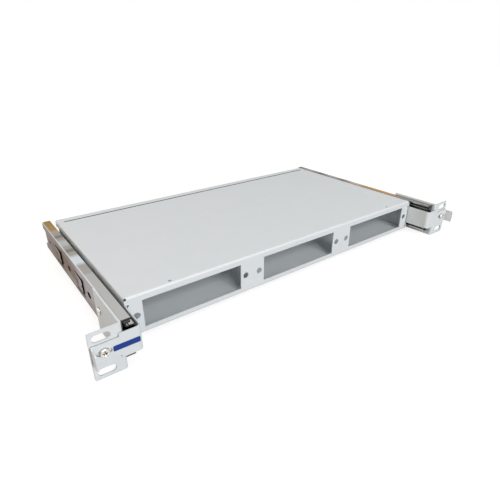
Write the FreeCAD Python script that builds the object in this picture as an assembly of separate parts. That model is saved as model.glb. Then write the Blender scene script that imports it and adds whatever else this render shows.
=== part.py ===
import FreeCAD, Part
import math
import os

from FreeCAD import Vector

# Sliding fibre enclosure for a rack, one unit high, lengths in millimetres
# X runs across the rack, Y from the front to the back, Z up
# The origin is the centre of the rack slots on the back face of the ears

# Rack brackets
rack_width = 482.6
ear_height = 43.7
ear_reach = 26.6
bracket_gauge = 1.8
bracket_bend = 0.8
bracket_depth = 62.5
ear_corner_radius = 1.2
slot_inset = 10.1
slot_spacing_up = 31.75
slot_length = 14.6
slot_height = 6.6

# Drawer box
box_gauge = 1.2
box_bend = 0.8
drawer_rise = 3.4
drawer_headroom = 0.4
drawer_rear_gap = 7.7
front_setback = 28.5
front_lip = 10.0
cover_flange = 6.8
corner_hole_radius = 0.9
corner_hole_start = 1.5
corner_hole_length = 7.0
cover_gap = 0.3
pierced_hole_radius = 1.8
pierced_hole_inset = 44.7
pierced_hole_setback = 5.4

# Front bays and the latch holes beside them
bay_count = 3
bay_end_margin = 0.65
bay_post = 29.4
bay_rise = 5.7
bay_headroom = 6.7
latch_margin = 6.2
latch_hole_radius = 3.25

# Rear wall, its slit in the cover and its cable ports
rear_slit_setback = 11.3
rear_slit_inset = 7.5
rear_slit_width = 2.4
seal_side_gap = 0.1
seal_drop = 0.1
port_length = 64.0
port_height = 20.0
port_inset = 83.2
grommet_wall = 1.6
grommet_lip = 2.4
grommet_lip_thickness = 1.5
grommet_sleeve_reach = 1.0
tie_slot_length = 9.0
tie_slot_width = 2.6
tie_slot_gap = 8.0
tie_slot_setback = 26.0
tie_slot_inset = 77.2
tie_slot_pairs = 3

# Arms that carry the drawer pull straps
arm_height = 22.8
arm_rise = 2.4
arm_bend = 3.0
arm_rear_margin = 12.0
arm_notch_gap = 1.2
strap_inset = 0.7
strap_narrow_height = 16.4
strap_step_gap = 3.9
strap_corner_radius = 2.2
tab_reach = 10.4
tab_height = 14.6
tab_bend = 1.6
tab_corner_radius = 1.6
strap_slot_length = 12.6
strap_slot_height = 4.6

# Ball-bearing slides
slide_depth = 13.5
rail_length = 250.0
rail_travel_loss = 10.0
rail_height = 35.0
rail_setback = 3.6
rail_gauge = 1.2
rail_bend = 1.0
outer_flange = 9.1
middle_web_gap = 0.8
middle_flange = 6.5
middle_end_margin = 4.0
inner_flange = 8.9
inner_front_margin = 2.0
inner_rear_margin = 13.5
rear_notch_depth = 10.0
rear_notch_height = 19.0
rear_notch_radius = 3.3
bumper_length = 8.0
bumper_width = 6.0
bumper_reach = 1.4
bumper_running_gap = 0.35

# Balls and their cages
ball_diameter = 3.2
ball_running_gap = 0.05
race_depth = 0.27
ball_line = 7.0
balls_per_row = 5
ball_sides = 6
ball_pitch = 22.0
cage_gauge = 0.5
cage_bend = 0.4
cage_side_gap = 0.15
cage_end = 8.0
cage_flange_reach = 2.2
cage_end_gap = 9.4

# Openings in the rail webs, placed as shares of the outer rail's length
web_slot_share = 0.324
lance_shares = [0.385, 0.687]
web_hole_shares = [0.582, 0.901]
lance_width = 14.4
lance_slit = 1.2
lance_length = 26.4
lance_bulge = 1.0
web_hole_radius = 2.2
web_slot_length = 7.0
access_slot_length = 21.0
access_slot_height = 8.0

# Lock screws and the strips inside the walls
screw_radius = 2.0
screw_gap = 0.05
screw_head_radius = 4.0
screw_head_height = 2.6
recess_width = 0.9
recess_length = 4.2
recess_depth = 1.4
lock_screw_tip = 1.6
backing_strip_height = 19.4
backing_strip_gauge = 2.0
backing_strip_margin = 14.0

# Places worked out from the sizes
half_rack = rack_width / 2
bracket_half_gap = half_rack - ear_reach
half_drawer = bracket_half_gap - slide_depth
slot_centre = half_rack - slot_inset
strap_reach = half_rack - strap_inset
strap_step = bracket_half_gap + strap_step_gap
ear_front = -bracket_gauge
rail_front = rail_setback
rail_rear = rail_front + rail_length
drawer_bottom = drawer_rise - ear_height / 2
drawer_top = ear_height / 2 - drawer_headroom
drawer_height = drawer_top - drawer_bottom
drawer_front = front_setback
drawer_rear = rail_rear - drawer_rear_gap
floor_bottom = drawer_bottom + box_gauge
floor_top = floor_bottom + box_gauge
cover_underside = drawer_top - box_gauge
wall_outside = half_drawer - box_gauge
wall_inside = wall_outside - box_gauge
wall_top = cover_underside - box_bend - cover_gap
bend_outside = box_gauge + box_bend
tray_front = drawer_front + bend_outside + cover_gap
rear_slit_middle = drawer_rear - rear_slit_setback
rear_wall_back = rear_slit_middle + box_gauge / 2
rear_wall_front = rear_wall_back - box_gauge
bay_height = drawer_height - bay_rise - bay_headroom
bay_middle = drawer_bottom + bay_rise + bay_height / 2
bay_pitch = 2 * (half_drawer - bay_end_margin) / bay_count
bay_width = bay_pitch - bay_post
port_middle = half_drawer - port_inset
arm_rear = drawer_rear - arm_rear_margin
ball_radius = ball_diameter / 2
race_radius = ball_radius + ball_running_gap
race_gap = 2 * (race_radius - race_depth)
outer_inside = rail_height / 2 - rail_gauge
outer_ball_height = outer_inside - race_gap / 2
middle_outside = outer_inside - race_gap
middle_inside = middle_outside - rail_gauge
inner_ball_height = middle_inside - race_gap / 2
inner_outside = middle_inside - race_gap
middle_web = rail_gauge + middle_web_gap
cage_length = ball_pitch * (balls_per_row - 1) + 2 * cage_end
rail_travel = rail_length - rail_travel_loss
cage_front = rail_front + rail_travel / 4 + cage_end_gap

# Directions in the plane of each kind of outline
flat_axes = {
    "xy": (Vector(1, 0, 0), Vector(0, 1, 0)),
    "xz": (Vector(1, 0, 0), Vector(0, 0, 1)),
    "yz": (Vector(0, 1, 0), Vector(0, 0, 1)),
}


def lift(plane, pairs):
    across, along = flat_axes[plane]
    return [across * first + along * second for first, second in pairs]


def block(x0, x1, y0, y1, z0, z1):
    corner = Vector(min(x0, x1), min(y0, y1), min(z0, z1))
    return Part.makeBox(abs(x1 - x0), abs(y1 - y0), abs(z1 - z0), corner)


def rod(radius, start, direction, length):
    return Part.makeCylinder(radius, length, start, direction)


def corner_arc(before, corner, after, radius):
    incoming = (before - corner).normalize()
    outgoing = (after - corner).normalize()
    half_angle = incoming.getAngle(outgoing) / 2
    reach = radius / math.tan(half_angle)
    bisector = (incoming + outgoing).normalize()
    centre = corner + bisector * (radius / math.sin(half_angle))
    return corner + incoming * reach, centre - bisector * radius, corner + outgoing * reach


def path_edges(points, radii):
    edges = []
    last = points[0]
    for index in range(1, len(points) - 1):
        radius = radii[index - 1]
        if radius <= 0:
            edges.append(Part.LineSegment(last, points[index]).toShape())
            last = points[index]
            continue
        start, middle, end = corner_arc(points[index - 1], points[index], points[index + 1], radius)
        edges.append(Part.LineSegment(last, start).toShape())
        edges.append(Part.Arc(start, middle, end).toShape())
        last = end
    edges.append(Part.LineSegment(last, points[-1]).toShape())
    return edges


def outline_face(plane, pairs, radii):
    # A closed outline that starts halfway along its last side, so every corner can be round
    points = lift(plane, pairs)
    start = (points[0] + points[-1]) * 0.5
    edges = path_edges([start] + points + [start], radii)
    return Part.Face(Part.Wire(Part.__sortEdges__(edges)))


def shifted_path(points, distance, normal):
    # The same path moved sideways to its left, with its corners kept sharp
    lefts = []
    for index in range(len(points) - 1):
        heading = (points[index + 1] - points[index]).normalize()
        lefts.append(normal.cross(heading))
    moved = [points[0] + lefts[0] * distance]
    for index in range(1, len(points) - 1):
        both = lefts[index - 1] + lefts[index]
        scale = distance * 2 / (both.Length ** 2)
        moved.append(points[index] + both * scale)
    moved.append(points[-1] + lefts[-1] * distance)
    return moved


def sheet_face(plane, pairs, gauge, inner_radius):
    # The section of a bent sheet: one side follows the path, the other lies to its left
    across, along = flat_axes[plane]
    normal = across.cross(along)
    near = lift(plane, pairs)
    far = shifted_path(near, gauge, normal)
    near_radii = []
    far_radii = []
    for index in range(1, len(near) - 1):
        before = near[index] - near[index - 1]
        after = near[index + 1] - near[index]
        turns_left = before.cross(after).dot(normal) > 0
        near_radii.append(inner_radius + gauge if turns_left else inner_radius)
        far_radii.append(inner_radius if turns_left else inner_radius + gauge)
    edges = path_edges(near, near_radii) + path_edges(far, far_radii)
    edges.append(Part.LineSegment(near[0], far[0]).toShape())
    edges.append(Part.LineSegment(near[-1], far[-1]).toShape())
    return Part.Face(Part.Wire(Part.__sortEdges__(edges)))


def drawn_out(face, axis, start, end):
    # A section swept straight between two places on the axis across its plane
    moved = face.copy()
    moved.translate(axis * start)
    return moved.extrude(axis * (end - start))


def obround(plane, centre, length, height):
    # A slot outline with round ends, its long side along the plane's first direction
    straight = (length - height) / 2
    across, along = flat_axes[plane]
    middle = across * centre[0] + along * centre[1]
    radius = height / 2
    top_left = middle - across * straight + along * radius
    top_right = middle + across * straight + along * radius
    low_right = middle + across * straight - along * radius
    low_left = middle - across * straight - along * radius
    right_tip = middle + across * (straight + radius)
    left_tip = middle - across * (straight + radius)
    edges = [
        Part.LineSegment(top_left, top_right).toShape(),
        Part.Arc(top_right, right_tip, low_right).toShape(),
        Part.LineSegment(low_right, low_left).toShape(),
        Part.Arc(low_left, left_tip, top_left).toShape(),
    ]
    return Part.Face(Part.Wire(edges))


def mirrored(shape):
    return shape.mirror(Vector(0, 0, 0), Vector(1, 0, 0))


def joined(shapes):
    whole = shapes[0].fuse(shapes[1:]) if len(shapes) > 1 else shapes[0]
    return whole.removeSplitter()


def save(name, shape):
    shape.exportStep("parts/" + name + ".step")
    box = shape.BoundBox
    print(name, len(shape.Solids), "solids", round(shape.Volume, 1), shape.isValid(),
          [round(value, 1) for value in (box.XMin, box.XMax, box.YMin, box.YMax, box.ZMin, box.ZMax)])


def save_pair(name, left_shape):
    save("left_" + name, left_shape)
    save("right_" + name, mirrored(left_shape))


def rack_bracket():
    # A web beside the slide and an ear bent outwards across the rack post
    web_end = ear_front + bracket_depth
    web_outside = -bracket_half_gap - bracket_gauge
    section = sheet_face(
        "xy",
        [(web_outside, web_end), (web_outside, 0), (-half_rack, 0)],
        bracket_gauge,
        bracket_bend,
    )
    sheet = drawn_out(section, Vector(0, 0, 1), -ear_height / 2, ear_height / 2)
    corners = [edge for edge in sheet.Edges
               if edge.Length < bracket_gauge + 0.01
               and abs(edge.CenterOfMass.x + half_rack) < 0.01
               and abs(abs(edge.CenterOfMass.z) - ear_height / 2) < 0.01]
    sheet = sheet.makeFillet(ear_corner_radius, corners)
    cuts = []
    for level in (-1, 1):
        slot = obround("xz", (-slot_centre, level * slot_spacing_up / 2), slot_length, slot_height)
        cuts.append(drawn_out(slot, Vector(0, 1, 0), 2 * ear_front, bracket_gauge))
    cuts.append(rod(screw_radius + screw_gap, Vector(-slot_centre, 2 * ear_front, arm_rise),
                    Vector(0, 1, 0), 2 * bracket_gauge))
    return sheet.cut(cuts)


def lock_screw():
    # Its head seats on the strap and its shank reaches through the strap's slot and the ear
    seat = ear_front - box_gauge
    head_front = seat - screw_head_height
    shank_length = box_gauge + bracket_gauge + lock_screw_tip
    head = rod(screw_head_radius, Vector(-slot_centre, head_front, arm_rise), Vector(0, 1, 0), screw_head_height)
    shank = rod(screw_radius, Vector(-slot_centre, seat, arm_rise), Vector(0, 1, 0), shank_length)
    middle = Vector(-slot_centre, 0, arm_rise)
    blades = []
    for turn in (0, 90):
        blade = outline_face(
            "xy",
            [(-recess_length / 2, head_front), (recess_length / 2, head_front),
             (recess_width / 2, head_front + recess_depth), (-recess_width / 2, head_front + recess_depth)],
            [0, 0, 0, 0],
        )
        blade = drawn_out(blade, Vector(0, 0, 1), -recess_width / 2, recess_width / 2)
        blade.rotate(Vector(0, 0, 0), Vector(0, 1, 0), turn)
        blade.translate(middle)
        blades.append(blade)
    return joined([head, shank]).cut(blades)


def rail_section(pairs):
    # Rail sections are drawn with the first number measured inwards from the slide's outer face
    placed = [(-bracket_half_gap + inwards, arm_rise + height) for inwards, height in pairs]
    return sheet_face("xz", placed, rail_gauge, rail_bend)


def race_grooves(height, start, end):
    # The cylindrical tracks that the top and bottom rows of balls roll in
    place = -bracket_half_gap + ball_line
    return [rod(race_radius, Vector(place, start, arm_rise + side * height), Vector(0, 1, 0), end - start)
            for side in (-1, 1)]


def web_cut(face, web):
    # A punched opening right through a rail web that starts at this distance inwards
    outside = -bracket_half_gap + web
    return drawn_out(face, Vector(1, 0, 0), outside - rail_gauge, outside + 2 * rail_gauge)


def outer_rail():
    top = rail_height / 2
    section = rail_section([(outer_flange, top), (0, top), (0, -top), (outer_flange, -top)])
    rail = drawn_out(section, Vector(0, 1, 0), rail_front, rail_rear)
    cuts = race_grooves(outer_ball_height, rail_front, rail_rear)
    notch = outline_face(
        "yz",
        [(rail_rear + rear_notch_depth, arm_rise - rear_notch_height / 2),
         (rail_rear + rear_notch_depth, arm_rise + rear_notch_height / 2),
         (rail_rear - rear_notch_depth, arm_rise + rear_notch_height / 2),
         (rail_rear - rear_notch_depth, arm_rise - rear_notch_height / 2)],
        [0, 0, rear_notch_radius, rear_notch_radius],
    )
    cuts.append(web_cut(notch, 0))
    for share in web_hole_shares:
        start = Vector(-bracket_half_gap - rail_gauge, rail_front + rail_length * share, arm_rise)
        cuts.append(rod(web_hole_radius, start, Vector(1, 0, 0), 3 * rail_gauge))
    slot_middle = (rail_front + rail_length * web_slot_share, arm_rise)
    cuts.append(web_cut(obround("yz", slot_middle, web_slot_length, 2 * web_hole_radius), 0))
    cuts += [web_cut(lance_window(front), 0) for front in lance_fronts()]
    rail = rail.cut(cuts)
    return joined([rail] + [lanced_tab(front) for front in lance_fronts()])


def lance_fronts():
    return [rail_front + rail_length * share for share in lance_shares]


def lance_window(front):
    # The slit round a tongue, with its corners cut off at the tongue's free end
    rear = front + lance_length
    reach = lance_width / 2 + lance_slit
    corner = reach - 2 * lance_slit
    corners = [(front + lance_slit, arm_rise - reach), (rear, arm_rise - reach), (rear, arm_rise + reach),
               (front + lance_slit, arm_rise + reach), (front, arm_rise + corner), (front, arm_rise - corner)]
    return outline_face("yz", corners, [0] * len(corners))


def lanced_tab(front):
    # A tongue left on the web along its rear edge and sprung outwards towards its front end
    web = -bracket_half_gap
    root = front + lance_length
    tip = front + 2 * lance_slit
    section = outline_face(
        "xy",
        [(web, root), (web + rail_gauge, root), (web + rail_gauge - lance_bulge, tip), (web - lance_bulge, tip)],
        [0, 0, 0, 0],
    )
    return drawn_out(section, Vector(0, 0, 1), arm_rise - lance_width / 2, arm_rise + lance_width / 2)


def middle_rail():
    flange_end = middle_web + middle_flange
    section = rail_section([(flange_end, middle_outside), (middle_web, middle_outside),
                            (middle_web, -middle_outside), (flange_end, -middle_outside)])
    front = rail_front + middle_end_margin
    rear = rail_rear - middle_end_margin
    rail = drawn_out(section, Vector(0, 1, 0), front, rear)
    cuts = race_grooves(outer_ball_height, front, rear) + race_grooves(inner_ball_height, front, rear)
    middle = ((front + rear) / 2, arm_rise)
    cuts.append(web_cut(obround("yz", middle, access_slot_length, access_slot_height), middle_web))
    return rail.cut(cuts)


def inner_rail():
    flange_end = slide_depth - inner_flange
    section = rail_section([(flange_end, -inner_outside), (slide_depth, -inner_outside),
                            (slide_depth, inner_outside), (flange_end, inner_outside)])
    front = rail_front + inner_front_margin
    rear = rail_rear - inner_rear_margin
    rail = drawn_out(section, Vector(0, 1, 0), front, rear)
    return rail.cut(race_grooves(inner_ball_height, front, rear))


def ball_places():
    return [cage_front + cage_end + ball_pitch * index for index in range(balls_per_row)]


def ball_cage(ball_height, web_inwards):
    # A thin channel whose flanges run through the balls' centres, with a square window at each ball
    flange = ball_height + cage_gauge / 2
    reach = ball_line + cage_flange_reach
    pairs = [(reach, flange), (web_inwards, flange), (web_inwards, -flange), (reach, -flange)]
    placed = [(-bracket_half_gap + inwards, arm_rise + height) for inwards, height in pairs]
    section = sheet_face("xz", placed, cage_gauge, cage_bend)
    cage = drawn_out(section, Vector(0, 1, 0), cage_front, cage_front + cage_length)
    middle = -bracket_half_gap + ball_line
    windows = []
    for place in ball_places():
        for side in (-1, 1):
            level = arm_rise + side * ball_height
            windows.append(block(middle - race_radius, middle + race_radius,
                                 place - race_radius, place + race_radius,
                                 level - cage_gauge, level + cage_gauge))
    return cage.cut(windows)


def ball_ring(centre, band):
    latitude = math.radians((band + 0.5) * 360 / ball_sides - 90)
    reach = ball_radius * math.cos(latitude)
    turns = [math.radians(side * 360 / ball_sides) for side in range(ball_sides + 1)]
    return [centre + Vector(reach * math.cos(turn), reach * math.sin(turn), ball_radius * math.sin(latitude))
            for turn in turns]


def ball(centre):
    # A faceted ball with its corners on the true sphere
    rings = [ball_ring(centre, band) for band in range(ball_sides // 2)]
    faces = [Part.Face(Part.makePolygon(rings[0])), Part.Face(Part.makePolygon(rings[-1]))]
    for lower, upper in zip(rings, rings[1:]):
        for side in range(ball_sides):
            corners = [lower[side], lower[side + 1], upper[side + 1], upper[side], lower[side]]
            faces.append(Part.Face(Part.makePolygon(corners)))
    return Part.makeSolid(Part.makeShell(faces))


def ball_rows(ball_height):
    middle = -bracket_half_gap + ball_line
    return Part.makeCompound([ball(Vector(middle, place, arm_rise + side * ball_height))
                              for place in ball_places() for side in (-1, 1)])


def front_bumpers():
    # Plastic blocks wedged between the flanges at the front end of the outer rail
    low = middle_outside + bumper_running_gap
    start = -bracket_half_gap + rail_gauge + rail_bend
    front = rail_front - bumper_reach
    blocks = [block(start, start + bumper_width, front, front + bumper_length,
                    arm_rise + side * low, arm_rise + side * outer_inside) for side in (-1, 1)]
    return Part.makeCompound(blocks)


def cover():
    # The top and front are one bent sheet, with short side flanges and a lip under the floor
    front_zone = drawer_front + 2 * bend_outside
    front_section = sheet_face(
        "yz",
        [(front_zone, drawer_top), (drawer_front, drawer_top),
         (drawer_front, drawer_bottom), (drawer_front + front_lip, drawer_bottom)],
        box_gauge,
        box_bend,
    )
    front = drawn_out(front_section, Vector(1, 0, 0), -half_drawer, half_drawer)
    top_section = sheet_face(
        "xz",
        [(half_drawer, drawer_top - cover_flange), (half_drawer, drawer_top),
         (-half_drawer, drawer_top), (-half_drawer, drawer_top - cover_flange)],
        box_gauge,
        box_bend,
    )
    top = drawn_out(top_section, Vector(0, 1, 0), drawer_front + box_gauge, drawer_rear)
    sheet = joined([front.common(rounded_across(front_zone)), top.common(rounded_along())])
    cuts = [bay_window(centre) for centre in bay_centres()]
    for side in (-1, 1):
        inwards = Vector(-side, 1, -1)
        corner = Vector(side * half_drawer, drawer_front, drawer_top)
        cuts.append(rod(corner_hole_radius, corner - inwards * corner_hole_start, inwards, corner_hole_length))
        pierced = Vector(side * (half_drawer - pierced_hole_inset), drawer_front + pierced_hole_setback, floor_top)
        cuts.append(rod(pierced_hole_radius, pierced, Vector(0, 0, 1), drawer_height))
        arm_reach = arm_height / 2 + cover_gap
        cuts.append(block(side * (wall_outside - arm_notch_gap), side * (half_drawer + box_gauge),
                          drawer_front - box_gauge, drawer_front + front_lip,
                          arm_rise - arm_reach, arm_rise + arm_reach))
        for centre in bay_centres():
            latch = Vector(centre + side * (bay_width / 2 + latch_margin), drawer_front - box_gauge, bay_middle)
            cuts.append(rod(latch_hole_radius, latch, Vector(0, 1, 0), 3 * box_gauge))
    slit_half = half_drawer - rear_slit_inset
    cuts.append(block(-slit_half, slit_half, rear_slit_middle - rear_slit_width / 2,
                      rear_slit_middle + rear_slit_width / 2, cover_underside - box_gauge, drawer_top + box_gauge))
    return sheet.cut(cuts)


def rounded_across(rear):
    # The drawer's outline seen from the front, which rounds the ends of the front bend
    outline = outline_face(
        "xz",
        [(-half_drawer, drawer_bottom), (half_drawer, drawer_bottom),
         (half_drawer, drawer_top), (-half_drawer, drawer_top)],
        [0, 0, bend_outside, bend_outside],
    )
    return drawn_out(outline, Vector(0, 1, 0), drawer_front, rear)


def rounded_along():
    # The drawer's outline seen from the side, which rounds the front ends of the side bends
    outline = outline_face(
        "yz",
        [(drawer_front, drawer_bottom), (drawer_rear, drawer_bottom),
         (drawer_rear, drawer_top), (drawer_front, drawer_top)],
        [0, 0, 0, bend_outside],
    )
    return drawn_out(outline, Vector(1, 0, 0), -half_drawer, half_drawer)


def rear_seal():
    # A rubber strip that stands on the rear wall and fills the slit in the top
    seal_half = half_drawer - rear_slit_inset - seal_side_gap
    seal_reach = rear_slit_width / 2 - seal_side_gap
    return block(-seal_half, seal_half, rear_slit_middle - seal_reach, rear_slit_middle + seal_reach,
                 cover_underside - cover_gap, drawer_top - seal_drop)


def bay_centres():
    first = -bay_pitch * (bay_count - 1) / 2
    return [first + bay_pitch * index for index in range(bay_count)]


def bay_window(centre):
    return block(centre - bay_width / 2, centre + bay_width / 2,
                 drawer_front - box_gauge, drawer_front + 2 * box_gauge,
                 bay_middle - bay_height / 2, bay_middle + bay_height / 2)


def tray():
    # Floor and side walls in one bend, rear wall turned up from the floor
    side_section = sheet_face(
        "xz",
        [(-wall_outside, wall_top), (-wall_outside, floor_bottom),
         (wall_outside, floor_bottom), (wall_outside, wall_top)],
        box_gauge,
        box_bend,
    )
    sides = drawn_out(side_section, Vector(0, 1, 0), tray_front, rear_wall_back)
    rear_section = sheet_face(
        "yz",
        [(tray_front, floor_bottom), (rear_wall_back, floor_bottom),
         (rear_wall_back, cover_underside - cover_gap)],
        box_gauge,
        box_bend,
    )
    rear = drawn_out(rear_section, Vector(1, 0, 0), -wall_inside - box_gauge / 2, wall_inside + box_gauge / 2)
    shape = joined([trimmed_rear(sides), rear])
    cuts = []
    for side in (-1, 1):
        port = obround("xz", (side * port_middle, arm_rise), port_length, port_height)
        cuts.append(drawn_out(port, Vector(0, 1, 0), rear_wall_front - box_gauge, rear_wall_back + box_gauge))
    return shape.cut(cuts + tie_slots())


def tie_slots():
    # Pairs of slots in the floor for ties that hold the trunk cables down
    first = tie_slot_inset - half_drawer
    pitch = -2 * first / (tie_slot_pairs - 1)
    slots = []
    for index in range(tie_slot_pairs):
        for step in (-1, 1):
            across = first + pitch * index
            along = rear_wall_front - tie_slot_setback + step * tie_slot_gap / 2
            slots.append(block(across - tie_slot_length / 2, across + tie_slot_length / 2,
                               along - tie_slot_width / 2, along + tie_slot_width / 2,
                               floor_bottom - box_gauge, floor_top + box_gauge))
    return slots


def trimmed_rear(sides):
    # The floor's rear edge is rounded like the bend of the rear wall that it meets
    corner = block(-wall_outside, wall_outside, rear_wall_back - bend_outside, rear_wall_back,
                   floor_bottom, floor_bottom + bend_outside)
    centre = Vector(-wall_outside, rear_wall_back - bend_outside, floor_bottom + bend_outside)
    corner = corner.cut(rod(bend_outside, centre, Vector(1, 0, 0), 2 * wall_outside))
    return sides.cut(corner)


def grommets():
    # Rubber rings, each a sleeve through a cable port with a lip against the wall's rear face
    rings = []
    for side in (-1, 1):
        middle = (side * port_middle, arm_rise)
        lip = obround("xz", middle, port_length + 2 * grommet_lip, port_height + 2 * grommet_lip)
        seat = obround("xz", middle, port_length, port_height)
        inner = obround("xz", middle, port_length - 2 * grommet_wall, port_height - 2 * grommet_wall)
        start = rear_wall_front - grommet_sleeve_reach
        end = rear_wall_back + grommet_lip_thickness
        ring = drawn_out(seat, Vector(0, 1, 0), start, rear_wall_back)
        ring = joined([ring, drawn_out(lip, Vector(0, 1, 0), rear_wall_back, end)])
        rings.append(ring.cut(drawn_out(inner, Vector(0, 1, 0), start, end)))
    return Part.makeCompound(rings)


def pull_arm():
    # One strip along the tray wall, bent out across the ear and forward again into a finger tab
    strap_face = ear_front - box_gauge
    section = sheet_face(
        "xy",
        [(-half_drawer, arm_rear), (-half_drawer, ear_front), (-strap_reach, ear_front)],
        box_gauge,
        arm_bend,
    )
    strip = drawn_out(section, Vector(0, 0, 1), arm_rise - arm_height / 2, arm_rise + arm_height / 2)
    half_narrow = strap_narrow_height / 2
    half_wide = arm_height / 2
    step_radius = strap_corner_radius / 2
    outline = outline_face(
        "xz",
        [(-strap_reach, arm_rise - half_narrow), (-strap_step, arm_rise - half_narrow),
         (-strap_step, arm_rise - half_wide), (-wall_outside, arm_rise - half_wide),
         (-wall_outside, arm_rise + half_wide), (-strap_step, arm_rise + half_wide),
         (-strap_step, arm_rise + half_narrow), (-strap_reach, arm_rise + half_narrow)],
        [0, step_radius, step_radius, strap_corner_radius, strap_corner_radius, step_radius, step_radius, 0],
    )
    bend_zone = ear_front + arm_bend
    front = strip.common(drawn_out(outline, Vector(0, 1, 0), strap_face - tab_reach, bend_zone))
    rear = strip.common(block(-strap_reach, -wall_outside, bend_zone, arm_rear,
                              arm_rise - arm_height / 2, arm_rise + arm_height / 2))
    arm = joined([front, rear, finger_tab()])
    slot = obround("xz", (-slot_centre, arm_rise), strap_slot_length, strap_slot_height)
    return arm.cut(drawn_out(slot, Vector(0, 1, 0), strap_face - box_gauge, ear_front + box_gauge))


def finger_tab():
    # The bend at the strap's end and the tab in front of it, its front corners rounded
    strap_face = ear_front - box_gauge
    tab_front = strap_face - tab_reach
    turn = tab_bend + box_gauge
    section = sheet_face(
        "xy",
        [(-strap_reach + 2 * turn, ear_front), (-strap_reach, ear_front), (-strap_reach, tab_front)],
        box_gauge,
        tab_bend,
    )
    half_narrow = strap_narrow_height / 2
    half_tab = tab_height / 2
    bend = drawn_out(section, Vector(0, 0, 1), arm_rise - half_narrow, arm_rise + half_narrow)
    outline = outline_face(
        "yz",
        [(ear_front, arm_rise + half_narrow), (strap_face, arm_rise + half_narrow),
         (strap_face - tab_bend, arm_rise + half_tab), (tab_front, arm_rise + half_tab),
         (tab_front, arm_rise - half_tab), (strap_face - tab_bend, arm_rise - half_tab),
         (strap_face, arm_rise - half_narrow), (ear_front, arm_rise - half_narrow)],
        [0, 0, 0, tab_corner_radius, tab_corner_radius, 0, 0, 0],
    )
    return bend.common(drawn_out(outline, Vector(1, 0, 0), -strap_reach, 3 * turn - strap_reach))


def backing_strip():
    # A strip inside the tray wall that stiffens it behind the arm
    return block(-wall_inside, -wall_inside + backing_strip_gauge,
                 drawer_front + backing_strip_margin, rear_wall_front - backing_strip_margin / 2,
                 arm_rise - backing_strip_height / 2, arm_rise + backing_strip_height / 2)


# The drawer
save("cover", cover())
save("tray", tray())
save("rear_seal", rear_seal())
save("cable_grommets", grommets())
save_pair("pull_arm", pull_arm())
save_pair("backing_strip", backing_strip())
save_pair("inner_rail", inner_rail())
save_pair("lock_screw", lock_screw())

# The sides that stay in the rack
save_pair("rack_bracket", rack_bracket())
save_pair("outer_rail", outer_rail())
save_pair("front_bumpers", front_bumpers())

# The parts of the slides that run between the two
save_pair("middle_rail", middle_rail())
save_pair("outer_cage", ball_cage(outer_ball_height, rail_gauge + cage_side_gap))
save_pair("outer_balls", ball_rows(outer_ball_height))
save_pair("inner_cage", ball_cage(inner_ball_height, middle_web + rail_gauge + cage_side_gap))
save_pair("inner_balls", ball_rows(inner_ball_height))
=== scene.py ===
import math

import bpy
import numpy as np
from mathutils import Euler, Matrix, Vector


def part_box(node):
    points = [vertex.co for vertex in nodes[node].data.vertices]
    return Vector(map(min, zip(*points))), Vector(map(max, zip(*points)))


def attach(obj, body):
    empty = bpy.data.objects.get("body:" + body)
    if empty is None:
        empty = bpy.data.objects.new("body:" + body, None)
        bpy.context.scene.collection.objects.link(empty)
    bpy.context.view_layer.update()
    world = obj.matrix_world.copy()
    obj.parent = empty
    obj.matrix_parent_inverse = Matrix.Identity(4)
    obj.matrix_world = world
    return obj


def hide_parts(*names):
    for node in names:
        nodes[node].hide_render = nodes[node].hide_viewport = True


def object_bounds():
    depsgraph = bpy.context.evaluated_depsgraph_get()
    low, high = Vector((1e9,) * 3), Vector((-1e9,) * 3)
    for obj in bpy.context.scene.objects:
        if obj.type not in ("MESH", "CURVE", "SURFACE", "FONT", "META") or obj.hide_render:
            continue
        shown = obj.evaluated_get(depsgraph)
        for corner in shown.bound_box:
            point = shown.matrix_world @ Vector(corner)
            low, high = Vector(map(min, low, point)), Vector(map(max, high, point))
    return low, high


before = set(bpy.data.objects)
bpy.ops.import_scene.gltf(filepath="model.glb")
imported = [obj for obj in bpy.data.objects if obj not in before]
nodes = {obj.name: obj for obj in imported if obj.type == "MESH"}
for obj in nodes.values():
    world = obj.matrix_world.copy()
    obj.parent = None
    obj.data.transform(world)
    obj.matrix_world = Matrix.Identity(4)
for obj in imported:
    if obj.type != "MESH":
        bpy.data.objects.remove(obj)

# A sliding fibre enclosure, one rack unit high: a light grey powder-coated box on ball-bearing slides
# X runs across the rack, Y from front to back, Z up, all in metres, with the origin between the rack slots

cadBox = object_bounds()
sides = (("left", -1), ("right", 1))


# Small helpers
def mm(value):
    return value / 1000


def linear(hexColour):
    # sRGB hex to linear: the low part is divided by 12.92, the rest is raised to the power 2.4
    value = np.array([int(hexColour[i:i + 2], 16) / 255 for i in (1, 3, 5)])
    value = np.where(value <= 0.04045, value / 12.92, ((value + 0.055) / 1.055) ** 2.4)
    return (*map(float, value), 1.0)


def feed(tree, node, inputs):
    # Each input is linked when its value is a socket, and otherwise set
    for name, value in inputs.items():
        if isinstance(value, bpy.types.NodeSocket):
            tree.links.new(value, node.inputs[name])
        else:
            node.inputs[name].default_value = value


def addNode(tree, kind, inputs=None, **settings):
    # One node with its settings and its inputs
    node = tree.nodes.new(kind)
    for name, value in settings.items():
        setattr(node, name, value)
    feed(tree, node, inputs or {})
    return node


def newMaterial(name):
    # An empty material with one shader on its output
    material = bpy.data.materials.new(name)
    material.use_nodes = True
    tree = material.node_tree
    tree.nodes.clear()
    shader = addNode(tree, "ShaderNodeBsdfPrincipled")
    addNode(tree, "ShaderNodeOutputMaterial", {"Surface": shader.outputs["BSDF"]})
    return material, tree, shader


def noise(tree, vector, size, detail):
    # Noise with features about size millimetres across
    return addNode(tree, "ShaderNodeTexNoise",
                   {"Vector": vector, "Scale": 1000 / size, "Detail": detail}).outputs["Fac"]


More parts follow.
